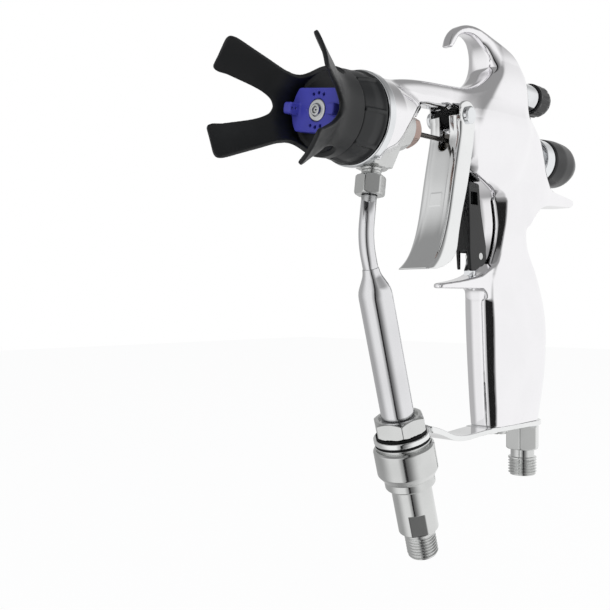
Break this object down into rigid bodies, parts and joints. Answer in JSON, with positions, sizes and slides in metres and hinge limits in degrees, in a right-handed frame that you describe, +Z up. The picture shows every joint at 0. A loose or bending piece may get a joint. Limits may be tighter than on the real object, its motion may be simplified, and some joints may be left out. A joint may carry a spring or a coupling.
{
  "type": "airless paint sprayer",
  "caption": "Air-assisted airless spray gun with a fan-tip guard, chrome body with a hanging hook, trigger with lock, inline fluid filter and swivel inlet.",
  "frame": {"origin": "centre of the end face of the air inlet's thread, at the bottom of the grip", "axes": "-X the direction of spray, +Y the gun's right-hand side, +Z up along the air inlet's axis, with the spray axis 150 mm above the origin"},
  "size_m": [0.2145, 0.059, 0.2238],
  "materials": {
    "body_chrome": "polished chrome plate over a forged light-alloy body",
    "trigger_chrome": "polished chrome plate",
    "collar_chrome": "turned and plated",
    "stainless": "turned stainless steel",
    "fluid_stainless": "milled stainless steel",
    "tube_steel": "drawn and polished stainless tube",
    "nut_black": "black satin",
    "guard_black": "moulded black, satin outside",
    "cap_blue": "violet blue, satin",
    "tip_metal": "ground carbide and steel",
    "bronze": "worn bronze",
    "brass": "turned brass",
    "carbide": "ground",
    "packing_white": "white packing",
    "seal_black": "black rubber",
    "knob_black": "black, lightly textured",
    "lever_black": "black oxide, glossy",
    "spring_steel": "drawn spring wire"
  },
  "bodies": {
    "gun": {"gun_body": "body_chrome", "head_ring": "collar_chrome", "fluid_section": "fluid_stainless", "fluid_seat": "carbide", "tip_seal": "packing_white", "packing_nut": "bronze", "needle_packing": "packing_white", "needle_spring": "spring_steel", "air_valve_seal": "seal_black", "air_valve_spring": "spring_steel", "spring_housing": "collar_chrome", "pattern_collar": "collar_chrome", "pattern_seal": "seal_black", "pivot_screw": "collar_chrome", "pivot_nut": "collar_chrome", "pivot_washers": "packing_white", "safety_post": "collar_chrome", "safety_pin": "stainless", "bracket": "trigger_chrome", "bracket_screw": "stainless", "air_nipple": "stainless", "inlet_washer": "collar_chrome", "tube_nut": "fluid_stainless", "tube_ferrule": "brass", "fluid_tube": "tube_steel", "filter_housing": "tube_steel", "filter_element": "stainless", "filter_spring": "spring_steel", "housing_nut": "stainless", "joint_rings": "seal_black", "swivel_body": "stainless", "swivel_seal": "seal_black", "swivel_clip": "spring_steel"},
    "trigger": {"trigger": "trigger_chrome"},
    "needle": {"fluid_needle": "stainless", "needle_collar": "brass", "needle_tail": "stainless"},
    "air_valve": {"air_valve_stem": "brass"},
    "safety_lever": {"safety_lever": "lever_black"},
    "fluid_knob": {"fluid_knob": "knob_black"},
    "needle_stop": {"needle_stop": "stainless"},
    "pattern_knob": {"pattern_knob": "knob_black"},
    "pattern_needle": {"pattern_needle": "stainless"},
    "spray_cap": {"air_cap": "cap_blue", "spray_tip": "tip_metal", "tip_guard": "guard_black"},
    "retaining_nut": {"retaining_nut": "nut_black"},
    "fluid_inlet": {"fluid_inlet": "stainless"}
  },
  "joints": [
    {"name": "trigger_pull", "type": "hinge", "parent": "gun", "child": "trigger", "pos_m": [-0.0605, 0, 0.16], "axis": [0, -1, 0], "range_deg": [0, 13], "stiffness_Nm_per_rad": 2, "springref_deg": -11.46},
    {"name": "needle_slide", "type": "slide", "parent": "gun", "child": "needle", "axis": [1, 0, 0], "range_m": [0, 0.0023], "deforming": ["needle_spring"]},
    {"name": "air_valve_slide", "type": "slide", "parent": "gun", "child": "air_valve", "axis": [1, 0, 0], "range_m": [0, 0.0023], "deforming": ["air_valve_spring"]},
    {"name": "safety_tilt", "type": "hinge", "parent": "gun", "child": "safety_lever", "pos_m": [-0.0424, 0, 0.102], "axis": [0, 1, 0], "range_deg": [-22, 0]},
    {"name": "fluid_knob_turn", "type": "hinge", "parent": "gun", "child": "fluid_knob", "pos_m": [0.03, 0, 0.15], "axis": [1, 0, 0], "range_deg": [-1080, 0]},
    {"name": "needle_stop_slide", "type": "slide", "parent": "gun", "child": "needle_stop", "axis": [1, 0, 0], "range_m": [-0.003, 0]},
    {"name": "pattern_knob_turn", "type": "hinge", "parent": "gun", "child": "pattern_knob", "pos_m": [0.01, 0, 0.179], "axis": [1, 0, 0], "range_deg": [0, 1080]},
    {"name": "pattern_needle_slide", "type": "slide", "parent": "gun", "child": "pattern_needle", "axis": [1, 0, 0], "range_m": [0, 0.003]},
    {"name": "cap_turn", "type": "hinge", "parent": "gun", "child": "spray_cap", "pos_m": [-0.14, 0, 0.15], "axis": [1, 0, 0], "range_deg": [-90, 90]},
    {"name": "nut_turn", "type": "hinge", "parent": "gun", "child": "retaining_nut", "pos_m": [-0.13, 0, 0.15], "axis": [1, 0, 0], "range_deg": [-360, 0]},
    {"name": "inlet_swivel", "type": "hinge", "parent": "gun", "child": "fluid_inlet", "pos_m": [-0.08478, 0, -0.00432], "axis": [0.284, 0, -0.9588], "continuous": true}
  ],
  "couplings": [
    {"joint": "needle_slide", "follows": "trigger_pull", "m_per_rad": 0.0101},
    {"joint": "air_valve_slide", "follows": "trigger_pull", "m_per_rad": 0.0101},
    {"joint": "needle_stop_slide", "follows": "fluid_knob_turn", "m_per_rad": 0.00015915},
    {"joint": "pattern_needle_slide", "follows": "pattern_knob_turn", "m_per_rad": 0.00015915}
  ]
}
